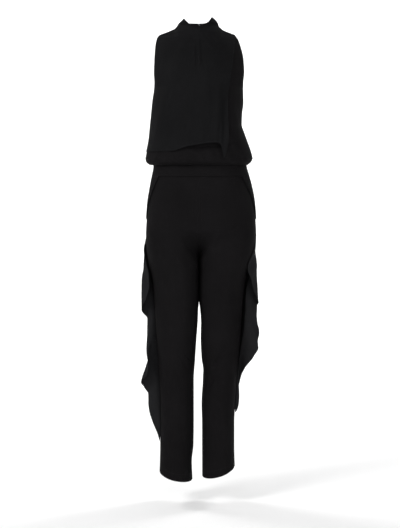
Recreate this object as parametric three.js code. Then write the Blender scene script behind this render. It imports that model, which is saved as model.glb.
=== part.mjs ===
// A sleeveless jumpsuit as it hangs when worn: soft stand collar, loose front overlay, bodice that blouses over the
// waist, tapered trousers with slant pockets, and a cascading flounce let into each side seam.
// Millimetres, +Z up, the front faces -Y. Left and right are the wearer's, so the wearer's right is -X.
// The origin lies between the shoulder seams, at the height where the shoulders carry the garment.

import * as THREE from "three";

// Cloth and seams
const CLOTH = 1.2; // one layer of crepe
const DOUBLED = 2.4; // two layers, in the collar and the waistband
const FLOUNCE_CLOTH = 1.0; // the lighter crepe of the overlay and the flounces
const SEAM = 0.4; // gap left between two pieces at a seam
const SIDE_Y = 6; // the side seams lie a little behind the middle

// Levels
const UNDERARM = -185;
const SHOULDER_TIP = -18;
const WAIST_SEAM = -408;
const TROUSER_TOP = -459.6;
const RISE_START = -620; // where the hip starts to part into two legs
const CROTCH = -735;
const HEM_CURL = -1300; // the hems start to lift towards the outer side below this

// The neck seam and the collar's top edge
const NECK = { right: 69, left: 62, frontDip: -25, backDip: 4, curve: 2.4 };
const COLLAR_TOP = { right: 51, left: 44, front: 62, back: 43, frontZ: 9, rightZ: 25.5, leftZ: 34.5, backZ: 27 };
const COLLAR_BULGE = 1.5;
const OVERLAY_DIP = -8; // the overlay's top edge sags to here between the collar's two corners

// The torso from the collar down to the blouse's widest ring: half-widths to each side, depths to front and back,
// where the armhole's or side seam's edges lie, and how square and how round each section is.
const TORSO = [
  { z: 36, right: 44, left: 40, front: 58, back: 42, frontEdge: 0, backEdge: 0, square: 2.0, round: 0.5 },
  { z: 26, right: 52, left: 51.5, front: 62, back: 45, frontEdge: 0, backEdge: 0, square: 2.1, round: 0.48 },
  { z: 15, right: 63.5, left: 60, front: 66, back: 48, frontEdge: 1, backEdge: 1, square: 2.1, round: 0.5 },
  { z: 6, right: 71, left: 63, front: 68, back: 51, frontEdge: 2, backEdge: 2, square: 1.7, round: 0.7 },
  { z: -6, right: 97, left: 87, front: 71, back: 57, frontEdge: 2, backEdge: 2, square: 1.5, round: 0.85 },
  { z: -18, right: 126, left: 116, front: 74, back: 62, frontEdge: 0, backEdge: 3, square: 1.5, round: 0.9 },
  { z: -30, right: 131.5, left: 123, front: 78, back: 67, frontEdge: -17, backEdge: 20, square: 1.6, round: 0.88 },
  { z: -54, right: 135.5, left: 131, front: 87, back: 75, frontEdge: -29, backEdge: 32, square: 1.8, round: 0.8 },
  { z: -92, right: 138, left: 139.5, front: 99, back: 84, frontEdge: -38, backEdge: 41, square: 2.0, round: 0.7 },
  { z: -135, right: 139.5, left: 142, front: 110, back: 91, frontEdge: -37, backEdge: 40, square: 2.1, round: 0.58 },
  { z: -165, right: 138.5, left: 139.6, front: 115, back: 94, frontEdge: -26, backEdge: 31, square: 2.2, round: 0.5 },
  { z: -185, right: 140.5, left: 140, front: 118, back: 95, frontEdge: 6, backEdge: 6, square: 2.3, round: 0.435 },
  { z: -227, right: 146.5, left: 141, front: 122, back: 97, frontEdge: 6, backEdge: 6, square: 2.3, round: 0.435 },
  { z: -262, right: 150, left: 137, front: 121, back: 95, frontEdge: 6, backEdge: 6, square: 2.3, round: 0.435 },
  { z: -295, right: 153.5, left: 136, front: 119, back: 94, frontEdge: 6, backEdge: 6, square: 2.3, round: 0.435 },
  { z: -321, right: 156, left: 144, front: 118, back: 96, frontEdge: 6, backEdge: 6, square: 2.3, round: 0.435 },
  { z: -352, right: 160, left: 155.5, front: 119, back: 101, frontEdge: 6, backEdge: 6, square: 2.3, round: 0.435 },
  { z: -382, right: 166.5, left: 166, front: 123, back: 107, frontEdge: 6, backEdge: 6, square: 2.3, round: 0.435 },
  { z: -402, right: 170.5, left: 171, front: 126, back: 110, frontEdge: 6, backEdge: 6, square: 2.3, round: 0.435 },
];

// The blouse turns under below its widest ring and goes back up inside to the waist seam.
const BLOUSE_TURN = [
  { z: -402, right: 170.5, left: 171, front: 126, back: 110 },
  { z: -412, right: 169, left: 167, front: 125, back: 109 },
  { z: -420, right: 162, left: 159, front: 119.5, back: 103 },
  { z: -424, right: 153, left: 153, front: 112.5, back: 97 },
  { z: -420, right: 146, left: 149.6, front: 107.5, back: 92.5 },
  { z: -409, right: 144, left: 148.5, front: 106, back: 91 },
];

const WAISTBAND = [
  { z: -408, right: 142.8, left: 147.3, front: 104.8, back: 89.8 },
  { z: -429, right: 143.2, left: 150, front: 105.2, back: 90.3 },
  { z: -447, right: 145.7, left: 155, front: 105.8, back: 91.2 },
  { z: -459, right: 148.8, left: 158.8, front: 106.1, back: 92.1 },
];

const HIP = [
  { z: -459, right: 149, left: 159, front: 106, back: 92 },
  { z: -489, right: 154.5, left: 167, front: 109, back: 97 },
  { z: -538, right: 162, left: 175.5, front: 111, back: 106 },
  { z: -603, right: 166.6, left: 180, front: 112, back: 113 },
  { z: -635, right: 168.5, left: 181.5, front: 111, back: 115 },
  { z: -680, right: 168.5, left: 179, front: 108, back: 113 },
  { z: -720, right: 165, left: 172, front: 103, back: 108 },
  { z: -735, right: 163, left: 168, front: 100, back: 106 },
];

// Each leg: how far its outer and inner side lie from the middle, and its depth to front and back.
const LEG = {
  right: [
    { z: -620, outer: 168, inner: 0.4, front: 117, back: 123 },
    { z: -735, outer: 163, inner: 0.4, front: 92, back: 98 },
    { z: -765, outer: 157, inner: 0.4, front: 88, back: 94 },
    { z: -798, outer: 150.5, inner: 0.4, front: 84, back: 90 },
    { z: -853, outer: 144, inner: 0.8, front: 78, back: 84 },
    { z: -886, outer: 141.5, inner: 3.8, front: 74, back: 81 },
    { z: -925, outer: 139.5, inner: 5.1, front: 71, back: 78 },
    { z: -976, outer: 136, inner: 9, front: 67, back: 75 },
    { z: -1044, outer: 131.5, inner: 13.4, front: 62, back: 72 },
    { z: -1115, outer: 127, inner: 18, front: 58, back: 71 },
    { z: -1173, outer: 124.5, inner: 18, front: 55, back: 70 },
    { z: -1252, outer: 123.5, inner: 18, front: 52, back: 67 },
    { z: -1323, outer: 124.5, inner: 19, front: 50, back: 63 },
    { z: -1380, outer: 125.5, inner: 24.5, front: 49, back: 60 },
    { z: -1439, outer: 128, inner: 22.5, front: 49, back: 58 },
  ],
  left: [
    { z: -620, outer: 181, inner: 0.4, front: 117, back: 123 },
    { z: -735, outer: 168, inner: 0.4, front: 92, back: 98 },
    { z: -765, outer: 157, inner: 0.4, front: 88, back: 94 },
    { z: -798, outer: 148.5, inner: 0.4, front: 84, back: 90 },
    { z: -853, outer: 141, inner: 0.9, front: 78, back: 84 },
    { z: -886, outer: 139, inner: 4.8, front: 74, back: 81 },
    { z: -925, outer: 136.5, inner: 7.5, front: 71, back: 78 },
    { z: -976, outer: 133, inner: 6.6, front: 67, back: 75 },
    { z: -1044, outer: 127.5, inner: 9.5, front: 62, back: 72 },
    { z: -1080, outer: 124.5, inner: 14.5, front: 60, back: 71 },
    { z: -1115, outer: 121, inner: 13.4, front: 58, back: 71 },
    { z: -1190, outer: 116, inner: 9.5, front: 54, back: 69 },
    { z: -1252, outer: 113, inner: 10.9, front: 52, back: 67 },
    { z: -1323, outer: 113, inner: 11.2, front: 50, back: 63 },
    { z: -1428, outer: 116, inner: 11.5, front: 49, back: 58 },
  ],
};
const RING_SQUARE = 2.3; // how square the sections are: 2 is an ellipse
const HIP_SQUARE = 3;
const LEG_SQUARE = 2.15;
const HEM = { right: { low: -1439, rise: 24 }, left: { low: -1428, rise: 32 } };

// The slant pockets: the mouth's angle round from the side seam at the waistband, and its height.
const POCKET = { swing: 1.05, height: 135, tuck: 0.2, depth: 3.2 };

// The overlay's free edge on the wearer's left, and its hem with the corner that hangs lower.
const OVERLAY_EDGE = [
  { z: -18, x: 114 },
  { z: -60, x: 111 },
  { z: -100, x: 106 },
  { z: -170, x: 96 },
  { z: -236, x: 88 },
  { z: -300, x: 86 },
  { z: -410, x: 86 },
];
const OVERLAY_HEM = [
  { along: -1, z: -382 },
  { along: -0.5, z: -380 },
  { along: -0.2, z: -366 },
  { along: 0.18, z: -358 },
  { along: 0.62, z: -355 },
  { along: 0.76, z: -362 },
  { along: 0.86, z: -403 },
  { along: 0.94, z: -378 },
  { along: 1, z: -352 },
];
// How far the overlay stands off what lies beneath it, by place.
const OVERLAY_LIFT = { edge: 1.7, middle: 2.4, hem: 9, corner: 6, collar: 3.4 };

// The flounces, a row for each turn of the free edge: the seam's level, how far the edge swings round the leg
// (degrees, forward is positive), how far it stands off the leg, how much the cloth bulges beyond that between seam
// and edge, how far it comes forward beside the seam, and how far the edge falls below the seam.
const CREST_REACH = 0.16; // the share of the flounce's width in which it has come that far forward
const FLOUNCE = {
  right: [
    { seam: -655, swing: 4, clear: 1.3, belly: 0, crest: 0, drop: 5 },
    { seam: -672, swing: 12, clear: 9, belly: 2, crest: 0, drop: 40 },
    { seam: -689, swing: 20, clear: 8, belly: 4, crest: 0, drop: 51 },
    { seam: -706, swing: 27, clear: 11, belly: 7, crest: 0, drop: 61 },
    { seam: -730, swing: 24, clear: 18, belly: 11, crest: 0, drop: 86 },
    { seam: -758, swing: 18, clear: 27, belly: 17, crest: 0, drop: 87 },
    { seam: -788, swing: 5, clear: 42, belly: 10, crest: 0, drop: 93 },
    { seam: -812, swing: -6, clear: 38, belly: 6, crest: 0, drop: 88 },
    { seam: -836, swing: -12, clear: 28, belly: 4, crest: 0, drop: 82 },
    { seam: -864, swing: -12, clear: 29, belly: 3, crest: 0, drop: 77 },
    { seam: -897, swing: -12, clear: 31, belly: 3, crest: 0, drop: 74 },
    { seam: -936, swing: 3, clear: 37, belly: 5, crest: 0, drop: 78 },
    { seam: -973, swing: 17, clear: 35, belly: 6, crest: 0, drop: 87 },
    { seam: -1004, swing: 12, clear: 41, belly: 8, crest: 0, drop: 90 },
    { seam: -1034, swing: 0, clear: 59, belly: 6, crest: 0, drop: 88 },
    { seam: -1062, swing: -12, clear: 54, belly: 4, crest: 0, drop: 80 },
    { seam: -1090, swing: -16, clear: 43, belly: 3, crest: 0, drop: 75 },
    { seam: -1122, swing: -17, clear: 43, belly: 2, crest: 0, drop: 69 },
    { seam: -1155, swing: -14, clear: 39, belly: 2, crest: 0, drop: 63 },
    { seam: -1197, swing: -8, clear: 27, belly: 1, crest: 0, drop: 57 },
    { seam: -1245, swing: 0, clear: 8, belly: 0, crest: 0, drop: 50 },
    { seam: -1288, swing: 2, clear: 1.5, belly: 0, crest: 0, drop: 28 },
  ],
  left: [
    { seam: -640, swing: 8, clear: 0.8, belly: 0, crest: 0, drop: 6 },
    { seam: -662, swing: 25, clear: 1.2, belly: 1, crest: 0, drop: 34 },
    { seam: -684, swing: 36, clear: 3, belly: 2, crest: 0, drop: 56 },
    { seam: -706, swing: 27, clear: 21, belly: 5, crest: 0, drop: 78 },
    { seam: -738, swing: 18, clear: 41, belly: 9, crest: 4, drop: 98 },
    { seam: -766, swing: 5, clear: 51, belly: 7, crest: 14, drop: 95 },
    { seam: -792, swing: -5, clear: 46, belly: 4, crest: 22, drop: 83 },
    { seam: -820, swing: 0, clear: 46, belly: 0, crest: 26, drop: 77 },
    { seam: -851, swing: 8, clear: 50, belly: 0, crest: 28, drop: 75 },
    { seam: -882, swing: 14, clear: 60, belly: 0, crest: 28, drop: 75 },
    { seam: -906, swing: 11, clear: 56, belly: 0, crest: 28, drop: 74 },
    { seam: -930, swing: 14, clear: 61, belly: 0, crest: 26, drop: 76 },
    { seam: -955, swing: 17, clear: 51, belly: 0, crest: 22, drop: 75 },
    { seam: -980, swing: 16, clear: 38, belly: 0, crest: 16, drop: 70 },
    { seam: -1010, swing: 10, clear: 22, belly: 0, crest: 10, drop: 62 },
    { seam: -1045, swing: 3, clear: 13, belly: 0, crest: 4, drop: 52 },
    { seam: -1090, swing: -4, clear: 9, belly: 0, crest: 0, drop: 48 },
    { seam: -1140, swing: -4, clear: 12, belly: 0, crest: 0, drop: 44 },
    { seam: -1175, swing: 0, clear: 9, belly: 0, crest: 0, drop: 34 },
    { seam: -1205, swing: 0, clear: 2, belly: 0, crest: 0, drop: 16 },
  ],
};

// The largest folds: where each one's middle lies on the front or back, its half length and half width, how far it
// slants from upright (degrees, positive leans to +X at the top) and how far it stands proud (or sinks, if negative).
const FOLDS = [
  { on: "overlay", x: -7, z: -82, length: 40, width: 4.5, slant: 0, height: -2.2 },
  { on: "overlay", x: 1, z: -80, length: 42, width: 5, slant: -3, height: 3 },
  { on: "overlay", x: 58, z: -270, length: 90, width: 13, slant: 4, height: 4 },
  { on: "overlay", x: -95, z: -215, length: 120, width: 18, slant: 14, height: 4 },
  { on: "front", x: 108, z: -350, length: 52, width: 11, slant: -24, height: -4 },
  { on: "front", x: -30, z: -398, length: 34, width: 13, slant: 40, height: 4 },
  { on: "front", x: 40, z: -400, length: 30, width: 14, slant: -30, height: 4 },
  { on: "front", x: -108, z: -396, length: 30, width: 15, slant: 25, height: 3.5 },
  { on: "back", x: -90, z: -350, length: 60, width: 15, slant: -14, height: 4 },
  { on: "back", x: 78, z: -345, length: 66, width: 15, slant: 16, height: 4 },
  { on: "back", x: -28, z: -385, length: 34, width: 13, slant: 10, height: -3.5 },
  { on: "legFront", x: 64, z: -1036, length: 30, width: 9, slant: 28, height: 3 },
  { on: "legFront", x: 45, z: -1095, length: 28, width: 8, slant: 26, height: 3 },
  { on: "legFront", x: -52, z: -1040, length: 32, width: 9, slant: -30, height: 3 },
  { on: "legFront", x: -96, z: -1190, length: 80, width: 10, slant: 2, height: 3 },
  { on: "legFront", x: 34, z: -690, length: 52, width: 12, slant: 34, height: -3 },
  { on: "legFront", x: -34, z: -700, length: 50, width: 12, slant: -34, height: -3 },
  { on: "legBack", x: -66, z: -760, length: 34, width: 10, slant: -58, height: 3.5 },
  { on: "legBack", x: 66, z: -765, length: 34, width: 10, slant: 58, height: 3.5 },
  { on: "legBack", x: -70, z: -1060, length: 30, width: 9, slant: 55, height: 3 },
  { on: "legBack", x: 66, z: -1065, length: 30, width: 9, slant: -55, height: 3 },
];

const CREPE = { color: 0x191919, roughness: 0.82, metalness: 0 };
const LIGHT_CREPE = { color: 0x202021, roughness: 0.78, metalness: 0 };

const sideName = (x) => (x < 0 ? "right" : "left");
const mix = (a, b, t) => a + (b - a) * t;
const smooth = (t) => t * t * (3 - 2 * t);
const clamp = (t) => Math.min(1, Math.max(0, t));

// A table's column read between its rows, along a curve that never overshoots them.
function read(rows, column, key, place) {
  const down = rows[0][key] > rows[rows.length - 1][key] ? -1 : 1;
  const last = rows.length - 2;
  let k = 0;
  while (k < last && (place - rows[k + 1][key]) * down > 0) k += 1;
  const slope = (i) => (rows[i + 1][column] - rows[i][column]) / (rows[i + 1][key] - rows[i][key]);
  const tangent = (i) => {
    if (i === 0 || i === rows.length - 1) return slope(Math.min(i, last));
    const [a, b] = [slope(i - 1), slope(i)];
    return a * b > 0 ? (2 * a * b) / (a + b) : 0;
  };
  const span = rows[k + 1][key] - rows[k][key];
  const t = clamp((place - rows[k][key]) / span);
  const [t2, t3] = [t * t, t * t * t];
  return (
    (2 * t3 - 3 * t2 + 1) * rows[k][column] +
    (t3 - 2 * t2 + t) * span * tangent(k) +
    (3 * t2 - 2 * t3) * rows[k + 1][column] +
    (t3 - t2) * span * tangent(k + 1)
  );
}

const level = (rows, column, z) => read(rows, column, "z", z);

// How far the folds of one face stand proud at a place.
function foldHeight(face, x, z) {
  let sum = 0;
  for (const fold of FOLDS) {
    if (fold.on !== face) continue;
    const lean = THREE.MathUtils.degToRad(fold.slant);
    const [dx, dz] = [x - fold.x, z - fold.z];
    const across = (dx * Math.cos(lean) - dz * Math.sin(lean)) / fold.width;
    const along = (dx * Math.sin(lean) + dz * Math.cos(lean)) / fold.length;
    sum += fold.height * Math.exp(-across * across - along * along * along * along);
  }
  return sum;
}

// A closed wall of cloth between a surface and its copy moved in by the cloth's thickness. The surface is a function
// of u and v; flip turns its normal round, lift moves it out first, and square trues the wall's edge at a seam.
function wall(name, finish, surface, options) {
  const { us, vs, flip = false, lift = () => 0, thickness = CLOTH, square } = options;
  const stepU = 1e-4 * (us[us.length - 1] - us[0]);
  const stepV = 1e-4 * (vs[vs.length - 1] - vs[0]);
  const normalAt = (u, v) => {
    const along = surface(u + stepU, v).sub(surface(u - stepU, v));
    const down = surface(u, v + stepV).sub(surface(u, v - stepV));
    const normal = along.cross(down).normalize();
    if (flip) normal.negate();
    return square ? square(normal, u, v).normalize() : normal;
  };
  const positions = [];
  const layer = (moveIn) => {
    for (const v of vs)
      for (const u of us) {
        const move = lift(u, v) - moveIn;
        positions.push(...surface(u, v).addScaledVector(normalAt(u, v), move).toArray());
      }
  };
  layer(0);
  layer(thickness);
  const [nu, nv] = [us.length, vs.length];
  const inside = nu * nv;
  const index = [];
  const quad = (a, b, c, d) => index.push(a, b, c, a, c, d);
  for (let j = 0; j < nv - 1; j += 1)
    for (let i = 0; i < nu - 1; i += 1) {
      const [a, b, c, d] = [j * nu + i, j * nu + i + 1, (j + 1) * nu + i + 1, (j + 1) * nu + i];
      quad(a, b, c, d);
      quad(inside + a, inside + d, inside + c, inside + b);
    }
  const edge = (a, b) => quad(b, a, inside + a, inside + b);
  for (let i = 0; i < nu - 1; i += 1) {
    edge(i, i + 1);
    edge((nv - 1) * nu + i + 1, (nv - 1) * nu + i);
  }
  for (let j = 0; j < nv - 1; j += 1) {
    edge((j + 1) * nu, j * nu);
    edge(j * nu + nu - 1, (j + 1) * nu + nu - 1);
  }
  if (flip) for (let k = 0; k < index.length; k += 3) [index[k + 1], index[k + 2]] = [index[k + 2], index[k + 1]];
  const geometry = new THREE.BufferGeometry();
  geometry.setAttribute("position", new THREE.Float32BufferAttribute(positions, 3));
  geometry.setIndex(index);
  geometry.computeVertexNormals();
  const mesh = new THREE.Mesh(geometry, new THREE.MeshStandardMaterial(finish));
  mesh.name = name;
  return mesh;
}

const steps = (from, to, count) => Array.from({ length: count + 1 }, (_, k) => mix(from, to, k / count));

// Steps from 0 to 1 that lie closer together at both ends.
const easedSteps = (count) => steps(0, Math.PI, count).map((angle) => (1 - Math.cos(angle)) / 2);

// Places from -1 to 1 that lie closer together where a weight is larger.
function gatheredSteps(count, weight) {
  const fine = 400;
  const sums = [0];
  for (let k = 0; k < fine; k += 1) sums.push(sums[k] + weight(-1 + (2 * (k + 0.5)) / fine));
  return steps(0, sums[fine], count).map((sum) => {
    const k = Math.min(fine - 1, Math.max(0, sums.findIndex((s) => s >= sum) - 1));
    return -1 + (2 * (k + (sum - sums[k]) / (sums[k + 1] - sums[k]))) / fine;
  });
}

// The torso

// Depth of the torso's front or back at a place seen from the front.
function torsoY(face, x, z) {
  const share = Math.min(1, Math.abs(x) / level(TORSO, sideName(x), z));
  const edge = level(TORSO, face === "front" ? "frontEdge" : "backEdge", z);
  const middle = face === "front" ? -level(TORSO, "front", z) : level(TORSO, "back", z);
  return mix(edge, middle, Math.pow(1 - Math.pow(share, level(TORSO, "square", z)), level(TORSO, "round", z)));
}

// Height of the shoulder and collar outline over a distance from the middle.
function outlineZ(side, distance) {
  let [high, low] = [TORSO[0].z, SHOULDER_TIP];
  for (let k = 0; k < 30; k += 1) {
    const middle = (high + low) / 2;
    if (level(TORSO, side, middle) < distance) high = middle;
    else low = middle;
  }
  return (high + low) / 2;
}

// Top edge of the bodice over a share of the shoulder's width: the neck seam, then the shoulder seam.
function bodiceTopZ(face, share, side) {
  const tip = level(TORSO, side, SHOULDER_TIP);
  const distance = Math.abs(share) * tip;
  const neckSide = outlineZ(side, NECK[side]);
  if (distance >= NECK[side]) return outlineZ(side, distance);
  const dip = face === "front" ? NECK.frontDip : NECK.backDip;
  return mix(dip, neckSide, Math.pow(distance / NECK[side], NECK.curve));
}

// Columns of the bodice from its middle out: five across the neck seam, five across the shoulder.
function bodiceColumns() {
  const neck = NECK.right / level(TORSO, "right", SHOULDER_TIP);
  const quarter = (k) => Math.sin((k / 5) * (Math.PI / 2));
  const inner = [0, 1, 2, 3, 4, 5].map((k) => neck * quarter(k));
  const outer = [1, 2, 3, 4, 5].map((k) => neck + (1 - neck) * quarter(k));
  return [...inner, ...outer];
}

// The bodice's rows: v from 0 to 1 is shoulder to underarm, 1 to 2 down to the widest ring, 2 to 3 the turn under.
function bodiceRow(v) {
  if (v <= 2) {
    const z = mix(UNDERARM, BLOUSE_TURN[0].z, clamp(v - 1));
    return Object.fromEntries(Object.keys(TORSO[0]).map((column) => [column, level(TORSO, column, z)]));
  }
  const rows = BLOUSE_TURN.map((row, k) => ({ ...row, turn: k / (BLOUSE_TURN.length - 1) }));
  const base = TORSO[TORSO.length - 1];
  const turned = ["z", "right", "left", "front", "back"].map((column) => [column, read(rows, column, "turn", clamp(v - 2))]);
  return { ...base, ...Object.fromEntries(turned) };
}

function bodicePoint(face, share, v) {
  const side = sideName(share);
  const reach = Math.min(1, Math.abs(share));
  if (v < 1) {
    const down = Math.max(0, v);
    const edgeZ = mix(SHOULDER_TIP, UNDERARM, down);
    const x = Math.sign(share) * reach * level(TORSO, side, edgeZ);
    const z = mix(bodiceTopZ(face, reach, side), UNDERARM, down);
    return new THREE.Vector3(x, torsoY(face, x, z), z);
  }
  const row = bodiceRow(v);
  const x = Math.sign(share) * reach * row[side];
  const middle = face === "front" ? -row.front : row.back;
  const y = mix(row.frontEdge, middle, Math.pow(1 - Math.pow(reach, row.square), row.round));
  return new THREE.Vector3(x, y, row.z);
}

// At the shoulder seam the wall's edge stands upright, so front and back meet face to face.
function squareShoulder(normal, share, v) {
  const onSeam = clamp(1 - v * 9) * clamp((Math.abs(share) - 0.4) * 8);
  normal.y *= 1 - onSeam;
  normal.z += onSeam * 0.2;
  return normal;
}

function bodicePanel(name, face, columns) {
  const push = face === "front" ? -1 : 1;
  const surface = (share, v) => {
    const point = bodicePoint(face, share, v);
    const seam = SEAM / 2;
    const shift = v < 1 ? seam : seam * clamp((Math.abs(share) - 0.9) * 10);
    point.y += push * shift;
    return point;
  };
  return wall(name, CREPE, surface, {
    us: columns,
    vs: [...easedSteps(9), ...steps(1, 2, 8).slice(1), ...steps(2, 3, 5).slice(1)],
    flip: face === "front",
    lift: (share, v) => {
      const point = bodicePoint(face, share, v);
      return foldHeight(face, point.x, point.z) * clamp((3 - v) * 1.5) * clamp((0.97 - Math.abs(share)) * 8);
    },
    square: squareShoulder,
  });
}

// The overlay

function overlayTopZ(along) {
  const side = sideName(along);
  const distance = Math.abs(along) * (along < 0 ? level(TORSO, "right", SHOULDER_TIP) : OVERLAY_EDGE[0].x);
  const corner = COLLAR_TOP[side] - 3;
  const below = 1.2;
  if (distance >= corner) return outlineZ(side, distance) - below;
  const cornerZ = outlineZ(side, corner) - below;
  return mix(OVERLAY_DIP, cornerZ, Math.pow(distance / corner, 2));
}

function overlayPoint(along, v) {
  const reach = along < 0 ? 0.994 * -along : along; // just inside the armhole and the side seam
  const edgeZ = mix(SHOULDER_TIP, OVERLAY_HEM[0].z, clamp(v));
  const hemZ = read(OVERLAY_HEM, "z", "along", along);
  const z = mix(overlayTopZ(along), hemZ, clamp(v));
  const half = along < 0 ? level(TORSO, "right", edgeZ) : level(OVERLAY_EDGE, "x", Math.min(edgeZ, SHOULDER_TIP));
  const x = Math.sign(along) * reach * half;
  return new THREE.Vector3(x, torsoY("front", x, z), z);
}

function overlayLift(along, v) {
  const { edge, middle, hem, corner, collar } = OVERLAY_LIFT;
  const inward = smooth(clamp((1 + along) * 4)) * smooth(clamp(v * 7));
  const point = overlayPoint(along, v);
  const loose = smooth(clamp((v - 0.55) / 0.45)) * smooth(clamp((along + 0.75) / 0.9));
  const fold = foldHeight("overlay", point.x, point.z) * inward;
  const overCollar = smooth(clamp((point.z + 34) / 22)) * smooth(clamp((NECK.right + 10 - Math.abs(point.x)) / 16));
  const curl = corner * smooth(clamp((along - 0.7) / 0.3)) * smooth(clamp((v - 0.45) / 0.55));
  return mix(edge, middle, inward) + (hem - middle) * loose + curl + collar * overCollar + fold + FLOUNCE_CLOTH;
}

function overlaySurface(along, v) {
  const point = overlayPoint(along, v);
  const outwards = (along < 0 ? -0.9 : 0.3) * Math.pow(Math.abs(along), 3);
  const upwards = smooth(clamp((point.z + 60) / 50));
  const direction = new THREE.Vector3(outwards, -1, upwards).normalize();
  return point.addScaledVector(direction, overlayLift(along, v) * Math.SQRT2);
}

function overlay() {
  const bump = (x, middle, width) => Math.exp(-(((x - middle) / width) ** 2));
  const weight = (x) => 1 + 2.2 * bump(x, -0.01, 0.09) + 1.6 * bump(x, 0.9, 0.16) + 1.2 * bump(x, -0.97, 0.1);
  return wall("front_overlay", LIGHT_CREPE, overlaySurface, {
    us: gatheredSteps(24, weight),
    vs: steps(0, 1, 17),
    flip: true,
    thickness: FLOUNCE_CLOTH,
  });
}

// The collar: turn runs from -180 to 180 degrees round the neck with 0 at the front, height from the seam up.
function neckSeamPoint(turn) {
  const face = Math.abs(turn) <= Math.PI / 2 ? "front" : "back";
  const side = sideName(Math.sin(turn));
  const x = NECK[side] * Math.sin(turn);
  const z = bodiceTopZ(face, x / level(TORSO, side, SHOULDER_TIP), side);
  return new THREE.Vector3(x, torsoY(face, x, z), z);
}

function collarTopPoint(turn) {
  const side = sideName(Math.sin(turn));
  const reach = Math.abs(Math.sin(turn));
  const sideZ = COLLAR_TOP[`${side}Z`];
  const front = Math.cos(turn) > 0;
  const z = front ? mix(COLLAR_TOP.frontZ, sideZ, Math.pow(reach, 1.6)) : mix(COLLAR_TOP.backZ, sideZ, Math.pow(reach, 3));
  const depth = front ? -COLLAR_TOP.front : COLLAR_TOP.back;
  return new THREE.Vector3(COLLAR_TOP[side] * Math.sin(turn), depth * Math.abs(Math.cos(turn)), z);
}

function collarPoint(turn, height) {
  const base = neckSeamPoint(turn);
  const top = collarTopPoint(turn);
  const lifted = base.clone().addScaledVector(top.clone().sub(base).normalize(), 3 * SEAM);
  const point = lifted.lerp(top, height);
  const out = new THREE.Vector3(Math.sin(turn), -Math.cos(turn), 0);
  return point.addScaledVector(out, COLLAR_BULGE * Math.sin(Math.PI * clamp(height)));
}

function collar() {
  const zipGap = 0.012; // half the angle left open at the centre back for the concealed zip
  return wall("collar", CREPE, collarPoint, {
    us: steps(-Math.PI + zipGap, Math.PI - zipGap, 40),
    vs: steps(0, 1, 5),
    flip: false,
    thickness: DOUBLED,
  });
}

// The waistband and the hips share one kind of ring.
function ringPoint(rows, turn, z) {
  const side = sideName(Math.sin(turn));
  const x = level(rows, side, z) * Math.sign(Math.sin(turn)) * Math.pow(Math.abs(Math.sin(turn)), 2 / RING_SQUARE);
  const depth = Math.cos(turn) > 0 ? -level(rows, "front", z) : level(rows, "back", z);
  return new THREE.Vector3(x, mix(SIDE_Y, depth, Math.pow(Math.abs(Math.cos(turn)), 2 / RING_SQUARE)), z);
}

function waistbandPiece(name, from, to, count) {
  const bottom = WAISTBAND[WAISTBAND.length - 1].z;
  return wall(name, CREPE, (turn, z) => ringPoint(WAISTBAND, turn, z), {
    us: steps(from, to, count),
    vs: steps(WAIST_SEAM, bottom, 3),
    flip: true,
    thickness: DOUBLED,
  });
}

// How far a level has gone over from the separate legs, 0, to the hips, 1, where the two halves meet in the middle.
const hipShare = (z) => smooth(clamp((z - CROTCH) / (RISE_START - CROTCH)));

// The power that shapes the hips' sections, from the waistband's to squarer ones below.
const hipPower = (z) => 2 / mix(RING_SQUARE, HIP_SQUARE, smooth(clamp((z - TROUSER_TOP) / (RISE_START - TROUSER_TOP))));

// Half a seam's gap at a leg's inner or outer seam, as an angle.
const legGap = SEAM / 2 / 70;
const sideGap = (z) => mix(legGap, 2 * Math.pow(SEAM / 2 / 100, 1 / hipPower(z)), hipShare(z));
const innerGap = (z) => legGap * (1 - hipShare(z));

// The trousers: turn runs from 0 at the centre front or inseam through 180 degrees at the side seam to 360.
function legPoint(side, turn, z) {
  const sign = side === "right" ? -1 : 1;
  const rows = LEG[side];
  const power = 2 / LEG_SQUARE;
  const above = z > CROTCH;
  const outer = above ? level(HIP, side, z) : level(rows, "outer", z);
  const inner = level(rows, "inner", z);
  const front = Math.sin(turn) >= 0;
  const [s, c] = [Math.abs(Math.sin(turn)), Math.cos(turn)];
  const middle = (outer + inner) / 2;
  const legX = middle - ((outer - inner) / 2) * Math.sign(c) * Math.pow(Math.abs(c), power);
  const legY = mix(SIDE_Y, front ? -level(rows, "front", z) : level(rows, "back", z), Math.pow(s, power));
  if (!above) return new THREE.Vector3(sign * legX, legY, z);
  const [half, across] = [Math.abs(Math.sin(turn / 2)), Math.abs(Math.cos(turn / 2))];
  const hipX = SEAM / 2 + (outer - SEAM / 2) * Math.pow(half, hipPower(z));
  const hipDepth = front ? -level(HIP, "front", z) : level(HIP, "back", z);
  const hipY = mix(SIDE_Y, hipDepth, Math.pow(across, hipPower(z)));
  const joined = hipShare(z);
  return new THREE.Vector3(sign * mix(legX, hipX, joined), mix(legY, hipY, joined), z);
}

// A leg's hem rises towards the outer side.
function hemLift(side, turn, z) {
  const { low, rise } = HEM[side];
  return rise * Math.pow(0.5 - 0.5 * Math.cos(turn), 2) * smooth(clamp((HEM_CURL - z) / (HEM_CURL - low)));
}

const pocketSwing = (z) => POCKET.swing * clamp((z - TROUSER_TOP + POCKET.height) / POCKET.height);

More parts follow.
